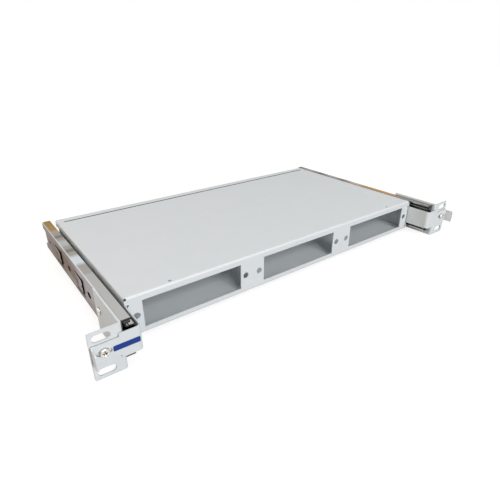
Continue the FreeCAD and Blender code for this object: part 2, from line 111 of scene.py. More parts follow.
def spread(tree, value, low, high, fromLow=0.3, fromHigh=0.7):
    # The range from fromLow to fromHigh stretched over low to high; a noise keeps mostly to 0.3 to 0.7
    return addNode(tree, "ShaderNodeMapRange", {"Value": value, "From Min": fromLow, "From Max": fromHigh,
                                                "To Min": low, "To Max": high}).outputs["Result"]


def joined(tree, operation, *values, clamp=False):
    # The values taken one after another through the same kind of maths node
    result = values[0]
    for value in values[1:]:
        result = addNode(tree, "ShaderNodeMath", {0: result, 1: value}, operation=operation,
                         use_clamp=clamp).outputs[0]
    return result


def absolute(tree, value):
    return addNode(tree, "ShaderNodeMath", {0: value}, operation="ABSOLUTE").outputs[0]


def blendColours(tree, factor, first, second):
    return addNode(tree, "ShaderNodeMix", {0: factor, 6: first, 7: second}, data_type="RGBA").outputs[2]


def creases(tree, reach):
    # 1 where a surface is open and less where it is closed in within the reach, used to paint shade
    return addNode(tree, "ShaderNodeAmbientOcclusion", {"Distance": reach}, samples=8).outputs["AO"]


def roughened(tree, height, strength, depth):
    # The surface normal after a fine relief
    return addNode(tree, "ShaderNodeBump", {"Height": height, "Strength": strength,
                                            "Distance": depth}).outputs["Normal"]


def objectPlace(tree, scale=(1, 1, 1)):
    place = addNode(tree, "ShaderNodeTexCoord").outputs["Object"]
    return addNode(tree, "ShaderNodeMapping", {"Vector": place, "Scale": scale}).outputs["Vector"]


# Materials

# Light grey polyester powder coat on steel: a satin skin whose fine orange peel breaks up the highlights
coat = {"pale": "#D8DDE0", "deep": "#D3D9DC", "patchSize": 18, "peelSize": 1.1, "grainSize": 0.35,
        "peelStrength": 0.25, "peelDepth": mm(0.010), "roughness": (0.41, 0.51), "creaseShade": "#4A4C4C",
        "creaseReach": mm(1.3), "creaseShadeAmount": 0.9, "creaseSpan": (0.3, 0.92), "reliefShade": "#121314",
        "reliefs": (((mm(200.3), mm(28.9), mm(20.4)), mm(1.3)), ((mm(198.5), mm(28.6), mm(13.8)), mm(1.0))),
        "reliefEdge": mm(0.2)}


def makeCoat():
    material, tree, shader = newMaterial("greyPowderCoat")
    place = objectPlace(tree)
    colour = blendColours(tree, noise(tree, place, coat["patchSize"], 3), linear(coat["pale"]),
                          linear(coat["deep"]))
    # Painted shade: ambient occlusion darkens the creases where sheets meet
    creaseShade = spread(tree, creases(tree, coat["creaseReach"]), coat["creaseShadeAmount"], 0, *coat["creaseSpan"])
    colour = blendColours(tree, creaseShade, colour, linear(coat["creaseShade"]))
    # Painted shade: dark discs at the reliefs of the two front top corners
    corner = addNode(tree, "ShaderNodeVectorMath", {0: place}, operation="ABSOLUTE").outputs["Vector"]
    for spot, reach in coat["reliefs"]:
        apart = addNode(tree, "ShaderNodeVectorMath", {0: corner, 1: spot}, operation="DISTANCE")
        hole = spread(tree, apart.outputs["Value"], 1, 0, reach - coat["reliefEdge"], reach)
        colour = blendColours(tree, hole, colour, linear(coat["reliefShade"]))
    peel = noise(tree, place, coat["peelSize"], 2)
    grain = noise(tree, place, coat["grainSize"], 1)
    normal = roughened(tree, joined(tree, "ADD", peel, grain), coat["peelStrength"], coat["peelDepth"])
    feed(tree, shader, {"Base Color": colour, "Roughness": spread(tree, grain, *coat["roughness"]),
                        "Normal": normal})
    return material


# Clear-passivated zinc on rolled steel: fine drawing lines run along the rail, and broad bands from grey to
# blue-white and darker grey on the thin film are painted reflections. It is straw yellow at the left slide's
# rear and amber at the right slide's front. Each pair of heights or places is where a change starts and where it
# ends
plating = {"silver": "#B1AEA8", "brightReflection": "#E0E8EE", "darkReflection": "#8F8B86", "straw": "#B4965A", "amber": "#DDB37E",
           "edgeTint": "#B9B3AD", "lineSize": 0.25, "lineStretch": 0.012, "lineStrength": 0.07,
           "lineDepth": mm(0.01), "roughnessDown": 0.02, "roughnessUp": 0.03, "driftSize": 40,
           "driftStretch": 0.6, "bandPeriod": mm(50), "bandPeak": mm(175), "bandSkew": 0.5,
           "bandRise": (mm(90), mm(112)), "brightReflectionBands": (-0.2, 0.7), "darkReflectionBands": (-1.0, -0.72),
           "brightReflectionFall": (mm(146), mm(162)), "brightReflectionRest": 0.4, "middle": (mm(-10), mm(10)),
           "strawRise": (mm(206), mm(222)), "amberRise": (mm(48), mm(62)), "amberFall": (mm(100), mm(160)),
           "tintRise": (mm(17.8), mm(18.4))}

# The outer web of the rail is browner and darker than its top, partly painted shade, with lilac ends, zones of
# painted sheen and a painted highlight along its upper bend
railWeb = {"shadedBrown": "#8A7461", "lilac": "#AFA7AD", "pale": "#DBD8DE", "bend": "#E9EEF5",
           "face": (mm(213.4), mm(214.2)), "below": (mm(17.9), mm(18.4)), "above": (mm(18.4), mm(18.8)),
           "streakSize": 22, "streakStretch": 0.45, "streakSwing": (-0.15, 0.3),
           "lilacFall": (mm(100), mm(145)), "lilacRise": (mm(190), mm(240)), "rearLilac": 0.8,
           "frontFall": (mm(103), mm(125)), "frontHeights": (mm(-10), mm(4)), "frontLow": 0.25,
           "bendPale": 0.36, "bendHeights": (mm(7), mm(16)), "betweenSheen": 0.5,
           "betweenHeights": (mm(-6), mm(-2)), "betweenRise": (mm(124), mm(132)),
           "betweenFall": (mm(156), mm(172))}

# Bare steel and painted shade in that web: its pierced edges, partly bare and partly painted shade, painted
# shade round its holes (place and radius) and a painted shadow line under each tongue, which runs from its start
# to its end between two heights
bareSteelAndShade = {"colour": "#1C1A19", "face": (mm(213.2), mm(213.5)), "facing": (0.5, 0.7), "level": mm(2.4),
             "reach": (mm(8.6), mm(9.0)), "holeStretch": 0.62, "holeEdge": mm(0.3),
             "holes": ((mm(84.6), mm(3.4)), (mm(149.1), mm(3.2)), (mm(228.9), mm(1.9))),
             "tongues": (mm(99.9), mm(175.4)), "shadowLine": (mm(0.2), mm(25.6)),
             "shadowLineHeights": (mm(-8.8), mm(-7.1)), "shadowLineEdge": mm(0.15)}


def reflectionBandedFilm(tree, along):
    # Painted reflections: bands follow cos(2 pi (y - peak) / period), skewed a little by a slow noise, and fade
    # out to the front
    drift = noise(tree, objectPlace(tree, (1, plating["driftStretch"], 1)), plating["driftSize"], 1)
    turn = 2 * math.pi / plating["bandPeriod"]
    phase = addNode(tree, "ShaderNodeMath", {0: along, 1: turn, 2: -turn * plating["bandPeak"]},
                    operation="MULTIPLY_ADD").outputs[0]
    phase = joined(tree, "ADD", phase, spread(tree, drift, -plating["bandSkew"], plating["bandSkew"]))
    wave = addNode(tree, "ShaderNodeMath", {0: phase}, operation="COSINE").outputs[0]
    bands = joined(tree, "MULTIPLY", wave, spread(tree, along, 0, 1, *plating["bandRise"]))
    brightReflection = joined(tree, "MULTIPLY", spread(tree, bands, 0, 1, *plating["brightReflectionBands"]),
                  spread(tree, along, 1, plating["brightReflectionRest"], *plating["brightReflectionFall"]))
    film = blendColours(tree, brightReflection, linear(plating["silver"]), linear(plating["brightReflection"]))
    return blendColours(tree, spread(tree, bands, 1, 0, *plating["darkReflectionBands"]), film, linear(plating["darkReflection"]))


def tintedFilm(tree, film, axes, tintAmount):
    # Straw or amber on the top flange alone
    isRight = spread(tree, axes["X"], 0, 1, *plating["middle"])
    straw = spread(tree, axes["Y"], 0, 1, *plating["strawRise"])
    amber = joined(tree, "MULTIPLY", spread(tree, axes["Y"], 0, 1, *plating["amberRise"]),
                   spread(tree, axes["Y"], 1, 0, *plating["amberFall"]))
    amount = addNode(tree, "ShaderNodeMix", {0: isRight, 2: straw, 3: amber}, data_type="FLOAT").outputs[0]
    amount = joined(tree, "MULTIPLY", amount, tintAmount, spread(tree, axes["Z"], 0, 1, *plating["tintRise"]))
    tint = blendColours(tree, isRight, linear(plating["straw"]), linear(plating["amber"]))
    return blendColours(tree, amount, film, tint)


def webFilm(tree, film, axes, outwards):
    # Brown, partly painted shade, with lilac streaks at both ends, and painted sheen at the front, along the
    # upper bend and low down between the tongues
    streaks = noise(tree, objectPlace(tree, (1, railWeb["streakStretch"], 1)), railWeb["streakSize"], 2)
    ends = joined(tree, "MAXIMUM", spread(tree, axes["Y"], 1, 0, *railWeb["lilacFall"]),
                  spread(tree, axes["Y"], 0, railWeb["rearLilac"], *railWeb["lilacRise"]))
    lilac = joined(tree, "ADD", ends, spread(tree, streaks, *railWeb["streakSwing"]), clamp=True)
    colour = blendColours(tree, lilac, linear(railWeb["shadedBrown"]), linear(railWeb["lilac"]))
    front = joined(tree, "MULTIPLY", spread(tree, axes["Y"], 1, 0, *railWeb["frontFall"]),
                   spread(tree, axes["Z"], railWeb["frontLow"], 1, *railWeb["frontHeights"]))
    # Painted sheen, rising towards the upper bend
    bend = spread(tree, axes["Z"], 0, railWeb["bendPale"], *railWeb["bendHeights"])
    lowSheen = joined(tree, "MULTIPLY",
                     spread(tree, axes["Z"], railWeb["betweenSheen"], 0, *railWeb["betweenHeights"]),
                     spread(tree, axes["Y"], 0, 1, *railWeb["betweenRise"]),
                     spread(tree, axes["Y"], 1, 0, *railWeb["betweenFall"]))
    pale = joined(tree, "ADD", front, bend, lowSheen, clamp=True)
    colour = blendColours(tree, pale, colour, linear(railWeb["pale"]))
    # The web's colour below the bend, and a painted highlight above it
    onWeb = spread(tree, outwards, 0, 1, *railWeb["face"])
    below = joined(tree, "MULTIPLY", onWeb, spread(tree, axes["Z"], 1, 0, *railWeb["below"]))
    above = joined(tree, "MULTIPLY", onWeb, spread(tree, axes["Z"], 0, 1, *railWeb["above"]))
    return blendColours(tree, above, blendColours(tree, below, film, colour), linear(railWeb["bend"]))


def bareSteelAndShadeMask(tree, axes, outwards):
    # 1 on the bare steel and the painted shade of the web
    normal = addNode(tree, "ShaderNodeNewGeometry").outputs["Normal"]
    facing = absolute(tree, addNode(tree, "ShaderNodeSeparateXYZ", {"Vector": normal}).outputs["X"])
    height = absolute(tree, joined(tree, "SUBTRACT", axes["Z"], bareSteelAndShade["level"]))
    mask = joined(tree, "MULTIPLY", spread(tree, facing, 1, 0, *bareSteelAndShade["facing"]),
                  spread(tree, height, 1, 0, *bareSteelAndShade["reach"]))
    stretch = bareSteelAndShade["holeStretch"]
    # Painted shade in a ring round each hole
    for along, radius in bareSteelAndShade["holes"]:
        apart = addNode(tree, "ShaderNodeVectorMath", {0: objectPlace(tree, (0, stretch, 1)),
                                                       1: (0, stretch * along, bareSteelAndShade["level"])},
                        operation="DISTANCE").outputs["Value"]
        holeShade = spread(tree, apart, 1, 0, radius - bareSteelAndShade["holeEdge"], radius)
        mask = joined(tree, "MAXIMUM", mask, holeShade)
    # The painted shadow line is 1 between its heights and between its ends, each with a soft edge
    start, end = bareSteelAndShade["shadowLine"]
    low, high = bareSteelAndShade["shadowLineHeights"]
    edge = bareSteelAndShade["shadowLineEdge"]
    level = joined(tree, "MULTIPLY", spread(tree, axes["Z"], 0, 1, low - edge, low),
                   spread(tree, axes["Z"], 1, 0, high, high + edge))
    for front in bareSteelAndShade["tongues"]:
        shadowLine = joined(tree, "MULTIPLY", level,
                      spread(tree, axes["Y"], 0, 1, front + start, front + start + edge),
                      spread(tree, axes["Y"], 1, 0, front + end, front + end + edge))
        mask = joined(tree, "MAXIMUM", mask, shadowLine)
    return joined(tree, "MULTIPLY", mask, spread(tree, outwards, 0, 1, *bareSteelAndShade["face"]))


def makePlating(name, roughness, tintAmount):
    material, tree, shader = newMaterial(name)
    axes = addNode(tree, "ShaderNodeSeparateXYZ", {"Vector": objectPlace(tree)}).outputs
    outwards = absolute(tree, axes["X"])
    film = tintedFilm(tree, reflectionBandedFilm(tree, axes["Y"]), axes, tintAmount)
    film = webFilm(tree, film, axes, outwards)
    # Near black, dull and not metallic where the web's steel is bare and where shade is painted
    bareAndShaded = bareSteelAndShadeMask(tree, axes, outwards)
    film = blendColours(tree, bareAndShaded, film, linear(bareSteelAndShade["colour"]))
    lines = noise(tree, objectPlace(tree, (1, plating["lineStretch"], 1)), plating["lineSize"], 2)
    feed(tree, shader, {"Base Color": film, "Metallic": spread(tree, bareAndShaded, 1, 0, 0, 1),
                        "Specular Tint": linear(plating["edgeTint"]),
                        "Specular IOR Level": spread(tree, bareAndShaded, 0.5, 0, 0, 1),
                        "Roughness": spread(tree, lines, roughness - plating["roughnessDown"],
                                            roughness + plating["roughnessUp"]),
                        "Normal": roughened(tree, lines, plating["lineStrength"], plating["lineDepth"])})
    return material


# Bright zinc on small screws: smooth and mirror-like with faint handling marks, and painted shade in the driver
# recess
screwZinc = {"pale": "#EDECE8", "worn": "#CFC7BA", "deep": "#1B1A19", "markSize": 0.9, "markStrength": 0.1,
             "markDepth": mm(0.01), "roughness": (0.16, 0.30), "recessReach": mm(1.6), "recessShadeAmount": 0.95,
             "recessShadeSpan": (0.35, 0.8)}


def makeScrewZinc():
    material, tree, shader = newMaterial("brightZincScrews")
    marks = noise(tree, objectPlace(tree), screwZinc["markSize"], 3)
    colour = blendColours(tree, marks, linear(screwZinc["pale"]), linear(screwZinc["worn"]))
    # Painted shade: the recess is darker the deeper it goes
    deep = spread(tree, creases(tree, screwZinc["recessReach"]), screwZinc["recessShadeAmount"], 0,
                  *screwZinc["recessShadeSpan"])
    colour = blendColours(tree, deep, colour, linear(screwZinc["deep"]))
    feed(tree, shader, {"Base Color": colour, "Metallic": 1.0,
                        "Roughness": spread(tree, marks, *screwZinc["roughness"]),
                        "Normal": roughened(tree, marks, screwZinc["markStrength"], screwZinc["markDepth"])})
    return material


# Hardened and polished bearing steel under a thin film of grease, so it is nearly a mirror
ballSteel = {"clean": "#D6D8DB", "greased": "#B9B5A6", "filmSize": 1.4, "roughness": (0.06, 0.16)}


def makeBallSteel():
    material, tree, shader = newMaterial("polishedBallSteel")
    film = noise(tree, objectPlace(tree), ballSteel["filmSize"], 2)
    colour = blendColours(tree, film, linear(ballSteel["clean"]), linear(ballSteel["greased"]))
    feed(tree, shader, {"Base Color": colour, "Metallic": 1.0,
                        "Roughness": spread(tree, film, *ballSteel["roughness"])})
    return material


# Moulded black rubber with a dull dusty bloom
rubber = {"name": "blackGrommetRubber", "colours": ("#0F1011", "#1A1B1C"), "patchSize": 6, "patchDetail": 3,
          "grainSize": 0.5, "strength": 0.2, "depth": mm(0.02), "roughness": (0.85, 0.85), "specular": 0.2}

# Black acetal moulding with a fine spark-eroded grain and a soft sheen
acetal = {"name": "blackAcetal", "colours": ("#141415", "#1D1D1F"), "patchSize": 3, "patchDetail": 1,
          "grainSize": 0.4, "strength": 0.25, "depth": mm(0.015), "roughness": (0.34, 0.46), "specular": 0.5}

# Blue printed film under a matt clear layer, slightly uneven in its ink
plateFilm = {"name": "bluePlateFilm", "colours": ("#12337F", "#183C8C"), "patchSize": 5, "patchDetail": 2,
             "grainSize": 0.3, "strength": 0.1, "depth": mm(0.01), "roughness": (0.36, 0.46), "specular": 0.25}

# Dull dark steel on the stamped marks
stampedSteel = {"name": "stampedDarkSteel", "colours": ("#2A2624", "#443C37"), "patchSize": 0.6,
                "patchDetail": 2, "grainSize": 0.4, "strength": 0.2, "depth": mm(0.01),
                "roughness": (0.8, 0.9), "specular": 0.05}


def makeGrained(finish):
    # Two close colours in patches, under a fine grain that also varies the roughness
    material, tree, shader = newMaterial(finish["name"])
    place = objectPlace(tree)
    patches = noise(tree, place, finish["patchSize"], finish["patchDetail"])
    grain = noise(tree, place, finish["grainSize"], 2)
    first, second = (linear(colour) for colour in finish["colours"])
    feed(tree, shader, {"Base Color": blendColours(tree, patches, first, second),
                        "Roughness": spread(tree, grain, *finish["roughness"]),
                        "Specular IOR Level": finish["specular"],
                        "Normal": roughened(tree, grain, finish["strength"], finish["depth"])})
    return material


coatMaterial = makeCoat()
railMaterial = makePlating("zincPlatedRail", 0.24, 0.9)
cageMaterial = makePlating("zincPlatedCage", 0.30, 0.3)
screwMaterial = makeScrewZinc()
ballMaterial = makeBallSteel()
rubberMaterial = makeGrained(rubber)
bumperMaterial = makeGrained(acetal)
plateMaterial = makeGrained(plateFilm)
markMaterial = makeGrained(stampedSteel)

# Which material each node of the frame gets
# The black rubber of the rear seal also paints the shade of the slit across the rear of the top
finishOf = {"cover": coatMaterial, "tray": coatMaterial, "rear_seal": rubberMaterial,
            "cable_grommets": rubberMaterial}
for side, _ in sides:
    for part in ("pull_arm", "backing_strip", "rack_bracket"):
        finishOf[side + "_" + part] = coatMaterial
    for part in ("outer_rail", "middle_rail", "inner_rail"):
        finishOf[side + "_" + part] = railMaterial
    for part in ("outer_cage", "inner_cage"):
        finishOf[side + "_" + part] = cageMaterial
    for part in ("outer_balls", "inner_balls"):
        finishOf[side + "_" + part] = ballMaterial
    finishOf[side + "_lock_screw"] = screwMaterial
    finishOf[side + "_front_bumpers"] = bumperMaterial
for name, material in finishOf.items():
    for slot in nodes[name].material_slots:
        slot.material = material
print("materials on", len(finishOf), "nodes")


# Surfaces
def gridFaces(rows, columns):
    # Four-sided faces over a grid of points that is joined round at its last column
    down = np.arange(rows - 1)[:, None] * columns
    across = np.arange(columns)[None, :]
    following = (across + 1) % columns
    faces = [down + across, down + following, down + columns + following, down + columns + across]
    return np.stack(faces, -1).reshape(-1, 4).tolist()


def turnedBody(profile, turns, swell=None):
    # Points at radius r(s) and height z(s) for each turn round Z, with the swell added to both, and a point at
    # each pole
    angle = np.linspace(0, 2 * math.pi, turns, endpoint=False)
    radius = profile[:, :1] * np.ones(turns)
    height = profile[:, 1:] * np.ones(turns)
    if swell is not None:
        moreRadius, moreHeight = swell(radius, height, angle[None, :])
        radius = radius + moreRadius
        height = height + moreHeight
    points = np.stack([radius * np.cos(angle), radius * np.sin(angle), height], -1).reshape(-1, 3)
    rows = len(profile)
    faces = gridFaces(rows, turns)
    first, last = len(points), len(points) + 1
    poles = [[0, 0, height[0].mean()], [0, 0, height[-1].mean()]]
    points = np.vstack([points, poles])
    end = (rows - 1) * turns
    faces += [[first, (i + 1) % turns, i] for i in range(turns)]
    faces += [[last, end + i, end + (i + 1) % turns] for i in range(turns)]
    return points, faces


def placed(part, place, direction):
    # The body's own Z turned to the direction and its origin moved to the place
    points, faces = part
    turn = np.array(Vector((0, 0, 1)).rotation_difference(Vector(direction)).to_matrix())
    return points @ turn.T + np.array(place), faces


def makePiece(name, parts, material, body, smooth=40):
    # Several closed surfaces put together in one object that rides on a body
    allPoints, allFaces, offset = [], [], 0
    for points, faces in parts:
        allPoints.append(points)
        allFaces += [[index + offset for index in face] for face in faces]
        offset += len(points)
    mesh = bpy.data.meshes.new(name)
    mesh.from_pydata(np.vstack(allPoints).tolist(), [], allFaces)
    mesh.validate()
    mesh.materials.append(material)
    piece = bpy.data.objects.new(name, mesh)
    bpy.context.scene.collection.objects.link(piece)
    mesh.shade_smooth()
    mesh.set_sharp_from_angle(angle=math.radians(smooth))
    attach(piece, body)
    return piece


def smoothStep(value):
    value = np.clip(value, 0, 1)
    return value * value * (3 - 2 * value)


# How finely a screw's profile is divided, how its recess and shank end, as shares or sizes
screwGrid = {"topPoints": 26, "rimPoints": 7, "pointsPerPitch": 10, "topStart": 0.02, "shankStart": 0.001,
             "neckFlare": 1.02, "tipTaper": 0.7, "tipFlat": mm(0.02), "recessEnd": 0.35, "recessFlank": 0.28}


def recessDepth(x, y, length, width, depth):
    # Two crossed grooves with sloping sides: depth times the nearer of the two, each fading at its edge
    def groove(along, across):
        reach = (length / 2 - np.abs(along)) / (screwGrid["recessEnd"] * length)
        flank = (width / 2 - np.abs(across)) / (screwGrid["recessFlank"] * width)
        return np.clip(reach, 0, 1) * smoothStep(flank)
    return depth * np.maximum(groove(x, y), groove(y, x))


def screwBody(sizes, turns=96):
    # A head whose top lies at -height + dome (r/R)^2 with the recess sunk in it, a rounded rim, and a shank with
    # a thread whose radius rises and falls with the phase z/pitch - turn
    headRadius, rim = sizes["headRadius"], sizes["rim"]
    shankRadius, shankLength = sizes["shankRadius"], sizes["shankLength"]
    topCount = screwGrid["topPoints"]
    top = np.linspace(screwGrid["topStart"], 1, topCount)[:, None] * (headRadius - rim)
    topRows = np.hstack([top, -sizes["headHeight"] + sizes["dome"] * (top / headRadius) ** 2])
    sweep = np.linspace(0, math.pi / 2, screwGrid["rimPoints"])[1:, None]
    rimRows = np.hstack([headRadius - rim + rim * np.sin(sweep), topRows[-1, 1] + rim * (1 - np.cos(sweep))])
    under = np.array([[headRadius, 0.0], [shankRadius * screwGrid["neckFlare"], 0.0]])
    steps = max(3, int(shankLength / sizes["pitch"] * screwGrid["pointsPerPitch"]))
    along = np.linspace(screwGrid["shankStart"], 1, steps)[:, None] * (shankLength - sizes["tip"])
    shank = np.hstack([np.full_like(along, shankRadius), along])
    tip = np.array([[shankRadius - sizes["tip"] * screwGrid["tipTaper"], shankLength],
                    [screwGrid["tipFlat"], shankLength]])
    profile = np.vstack([topRows, rimRows, under, shank, tip])
    # The thread keeps clear of the two first points and the last one of the shank
    threadFirst = len(topRows) + len(rimRows) + len(under) + 2
    threadLast = len(profile) - len(tip) - 1

    def swell(radius, height, angle):
        moreRadius = np.zeros_like(radius)
        moreHeight = np.zeros_like(radius)
        x = radius[:topCount] * np.cos(angle)
        y = radius[:topCount] * np.sin(angle)
        moreHeight[:topCount] = recessDepth(x, y, sizes["recessLength"], sizes["recessWidth"],
                                            sizes["recessDepth"])
        phase = height[threadFirst:threadLast] / sizes["pitch"] - angle / (2 * math.pi)
        wave = np.abs((phase % 1) * 2 - 1)
        moreRadius[threadFirst:threadLast] = -sizes["thread"] * wave
        return moreRadius, moreHeight

    return turnedBody(profile, turns, swell)


# Sizes of the frame that the pieces below sit on
rail = {"gauge": mm(1.2), "tongueBulge": mm(1.0), "bracketGauge": mm(1.8)}

# Lock screws, which stand for the plain ones of the frame
lockScrew = {"headRadius": mm(3.85), "headHeight": mm(2.6), "dome": mm(0.7), "rim": mm(0.6),
             "shankRadius": mm(2.0), "shankLength": mm(4.6), "tip": mm(0.5), "pitch": mm(0.7),
             "thread": mm(0.3), "recessLength": mm(5.0), "recessWidth": mm(1.5), "recessDepth": mm(1.9)}
for side, _ in sides:
    low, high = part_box(side + "_lock_screw")
    middle = ((low.x + high.x) / 2, low.y + lockScrew["headHeight"], (low.z + high.z) / 2)
    screw = makePiece(side + "_lock_screw_turned", [placed(screwBody(lockScrew), middle, (0, 1, 0))],
                      screwMaterial, side + "_lock_screw")
    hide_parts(side + "_lock_screw")
print("lock screws")

# Screws that hold each slide to its bracket
bracketScrew = {"headRadius": mm(3.7), "headHeight": mm(1.9), "dome": mm(0.6), "rim": mm(0.5),
                "shankRadius": mm(1.9), "shankLength": mm(0.3), "tip": mm(0.1), "pitch": mm(0.7),
                "thread": 0.0, "recessLength": mm(4.2), "recessWidth": mm(1.2), "recessDepth": mm(1.2)}
bracketScrewDepths = (mm(13.0), mm(50.6))
bracketScrewRise = mm(2.0)
for side, sign in sides:
    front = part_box(side + "_rack_bracket")[0].y + rail["bracketGauge"]
    low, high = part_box(side + "_inner_rail")
    level = (low.z + high.z) / 2 + bracketScrewRise
    outermost = abs(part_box(side + "_outer_rail")[0 if sign < 0 else 1].x)
    webFace = sign * (outermost - rail["tongueBulge"] + rail["bracketGauge"])
    screws = [placed(screwBody(bracketScrew, 64), (webFace, front + depth, level), (-sign, 0, 0))
              for depth in bracketScrewDepths]
    makePiece(side + "_bracket_screws", screws, screwMaterial, "rack_sides")

# Screws under the front lip, at shares of the cover's half width
coverScrew = dict(bracketScrew, headRadius=mm(2.9), headHeight=mm(1.4), recessLength=mm(3.4),
                  recessWidth=mm(1.0), recessDepth=mm(0.9))
coverScrewSetback = mm(6.0)
coverScrewShares = (-0.94, -0.332, 0.332, 0.94)
low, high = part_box("cover")
screws = [placed(screwBody(coverScrew, 48), (share * high.x, low.y + coverScrewSetback, low.z), (0, 0, 1))
          for share in coverScrewShares]
makePiece("cover_lip_screws", screws, screwMaterial, "drawer")
print("bracket and cover screws")


# Round balls in place of the faceted ones
def ballBody(radius, turns=24, bands=12):
    # A sphere: radius r sin(v) and height -r cos(v) for v between the poles
    v = np.linspace(0, math.pi, bands + 1)[1:-1, None]
    return turnedBody(np.hstack([radius * np.sin(v), -radius * np.cos(v)]), turns)


balls = {"radius": mm(1.6), "perRow": 5, "lowReach": mm(1.386)}
for side, _ in sides:
    for which in ("outer", "inner"):
        name = side + "_" + which + "_balls"
        low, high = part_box(name)
        spots = np.linspace(low.y + balls["lowReach"], high.y - balls["lowReach"], balls["perRow"])
        levels = (low.z + balls["lowReach"], high.z - balls["lowReach"])
        across = (low.x + high.x) / 2
        bodies = [placed(ballBody(balls["radius"]), (across, y, z), (0, 0, 1)) for y in spots for z in levels]
        cage = side + "_" + which + "_cage"
        piece = makePiece(name + "_round", bodies, ballMaterial, cage, 80)
        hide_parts(name)
print("balls")

# Screws that hold each inner rail to the drawer's side, seen when the drawer is open
railScrew = dict(bracketScrew, headRadius=mm(3.2), headHeight=mm(1.1), recessLength=mm(3.6),
                 recessDepth=mm(0.8))
railScrewShares = (0.22, 0.54, 0.87)
for side, sign in sides:
    low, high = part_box(side + "_inner_rail")
    webFace = sign * (min(abs(low.x), abs(high.x)) + rail["gauge"])
    level = (low.z + high.z) / 2
    spots = [(webFace, low.y + share * (high.y - low.y), level) for share in railScrewShares]
    screws = [placed(screwBody(railScrew, 64), spot, (-sign, 0, 0)) for spot in spots]
    makePiece(side + "_inner_rail_screws", screws, screwMaterial, "drawer")


def roundedBlock(low, high, radius, steps=4):
    # A block whose corners are eighths of a sphere: each point is a core corner plus the radius times its
    # direction, with the directions on the eight borders taken twice
    quarter = np.linspace(0, math.pi / 2, steps + 1)
    turn = np.concatenate([quarter + k * math.pi / 2 for k in range(4)])
    turnCorner = np.repeat(np.array([[1, 1], [-1, 1], [-1, -1], [1, -1]]), steps + 1, axis=0)
    tilt = np.concatenate([quarter[::-1][:-1] * -1, [0.0], [0.0], quarter[1:]])[1:-1]
    tiltSide = np.repeat([-1, 1], steps + 1)[1:-1]
    low, high = np.array(low), np.array(high)
    middle, core = (low + high) / 2, (high - low) / 2 - radius
    flat = np.cos(tilt)[:, None]
    x = turnCorner[:, 0] * core[0] + radius * flat * np.cos(turn)
    y = turnCorner[:, 1] * core[1] + radius * flat * np.sin(turn)
    z = (tiltSide * core[2] + radius * np.sin(tilt))[:, None] * np.ones(len(turn))
    points = np.stack([x, y, z], -1).reshape(-1, 3)
    base = len(points)
    for end in (-1, 1):
        # The four corners of the flat bottom, and then of the flat top
        height = np.full(len(turn), end * (core[2] + radius))
        rim = np.stack([turnCorner[:, 0] * core[0], turnCorner[:, 1] * core[1], height], -1)
        points = np.vstack([points, rim[::steps + 1]])
    count = len(turn)
    faces = gridFaces(len(tilt), count)
    lastRow = (len(tilt) - 1) * count
    for k in range(4):
        for i in range(steps):
            at = k * (steps + 1) + i
            faces.append([base + k, at + 1, at])
            faces.append([base + 4 + k, lastRow + at, lastRow + at + 1])
        following = (k + 1) % 4
        last, first = k * (steps + 1) + steps, following * (steps + 1)
        faces.append([base + k, base + following, first, last])
        faces.append([base + 4 + following, base + 4 + k, lastRow + last, lastRow + first])
    faces += [[base + 3, base + 2, base + 1, base], [base + 4, base + 5, base + 6, base + 7]]
    return points + middle, faces


# Stamped strokes on the sprung tongues of the outer rails, with nothing to read in them. A tongue starts at a
# share of the rail, and bulges less and less from its front end to its rear end
marks = {"length": mm(3.2), "height": mm(1.5), "rise": mm(0.12), "sink": mm(0.25), "edge": mm(0.1),
         "tongues": (0.385, 0.687), "tongueFrom": mm(2.4), "tongueTo": mm(26.4),
         "spots": ((mm(21.8), mm(-0.6)), (mm(20.6), mm(-3.2)), (mm(5.0), mm(-0.4)))}
slope = rail["tongueBulge"] / (marks["tongueTo"] - marks["tongueFrom"])
strokePoints, strokeFaces = roundedBlock((-marks["length"] / 2, -marks["height"] / 2, -marks["rise"]),
                                         (marks["length"] / 2, marks["height"] / 2, marks["sink"]),
                                         marks["edge"], 3)
for side, sign in sides:
    low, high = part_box(side + "_outer_rail")
    outermost = max(abs(low.x), abs(high.x))
    # The stroke's length lies along Y, its height along Z and its rise points outwards from the tongue
    turned = np.stack([-sign * strokePoints[:, 2] - sign * slope * strokePoints[:, 0], strokePoints[:, 0],
                       -sign * strokePoints[:, 1]], -1)
    bodies = []
    for share in marks["tongues"]:
        front = low.y + share * (high.y - low.y)
        for along, up in marks["spots"]:
            out = sign * (outermost - slope * (along - marks["tongueFrom"]))
            place = np.array([out, front + along, (low.z + high.z) / 2 + up])
            bodies.append((turned + place, strokeFaces))
    makePiece(side + "_tongue_marks", bodies, markMaterial, "rack_sides")
print("rail screws and stamped marks")

